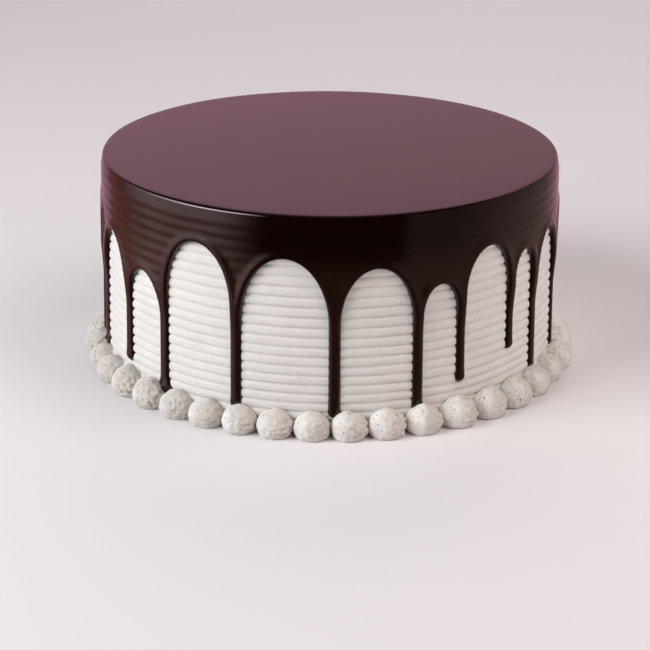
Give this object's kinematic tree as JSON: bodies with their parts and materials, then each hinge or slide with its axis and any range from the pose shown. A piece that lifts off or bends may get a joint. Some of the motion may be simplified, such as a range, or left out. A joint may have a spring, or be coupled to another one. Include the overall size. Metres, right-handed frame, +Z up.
{
  "type": "layer cake",
  "caption": "Round uncut layer cake with a combed cream side, a glossy chocolate glaze that runs down in drips, and a ring of piped cream balls round its foot.",
  "frame": {"origin": "centre of the footprint, on the surface that the cake stands on", "axes": "+Z up; -Y is the side that the picture shows; +X is to the right seen from there"},
  "size_m": [0.2469, 0.2459, 0.104],
  "materials": {
    "combed_cream": "soft matte buttercream with very fine biscuit specks",
    "chocolate_glaze": "poured dark chocolate glaze, wet-looking gloss",
    "piped_cream": "soft matte buttercream with brown and black biscuit specks"
  },
  "bodies": {
    "root": {"cream_cake": "combed_cream", "chocolate_glaze": "chocolate_glaze", "piped_ball_01": "piped_cream", "piped_ball_02": "piped_cream", "piped_ball_03": "piped_cream", "piped_ball_04": "piped_cream", "piped_ball_05": "piped_cream", "piped_ball_06": "piped_cream", "piped_ball_07": "piped_cream", "piped_ball_08": "piped_cream", "piped_ball_09": "piped_cream", "piped_ball_10": "piped_cream", "piped_ball_11": "piped_cream", "piped_ball_12": "piped_cream", "piped_ball_13": "piped_cream", "piped_ball_14": "piped_cream", "piped_ball_15": "piped_cream", "piped_ball_16": "piped_cream", "piped_ball_17": "piped_cream", "piped_ball_18": "piped_cream", "piped_ball_19": "piped_cream", "piped_ball_20": "piped_cream", "piped_ball_21": "piped_cream", "piped_ball_22": "piped_cream", "piped_ball_23": "piped_cream", "piped_ball_24": "piped_cream", "piped_ball_25": "piped_cream", "piped_ball_26": "piped_cream", "piped_ball_27": "piped_cream", "piped_ball_28": "piped_cream", "piped_ball_29": "piped_cream", "piped_ball_30": "piped_cream", "piped_ball_31": "piped_cream", "piped_ball_32": "piped_cream", "piped_ball_33": "piped_cream", "piped_ball_34": "piped_cream", "piped_ball_35": "piped_cream", "piped_ball_36": "piped_cream", "piped_ball_37": "piped_cream", "piped_ball_38": "piped_cream", "piped_ball_39": "piped_cream", "piped_ball_40": "piped_cream", "piped_ball_41": "piped_cream"}
  },
  "joints": []
}
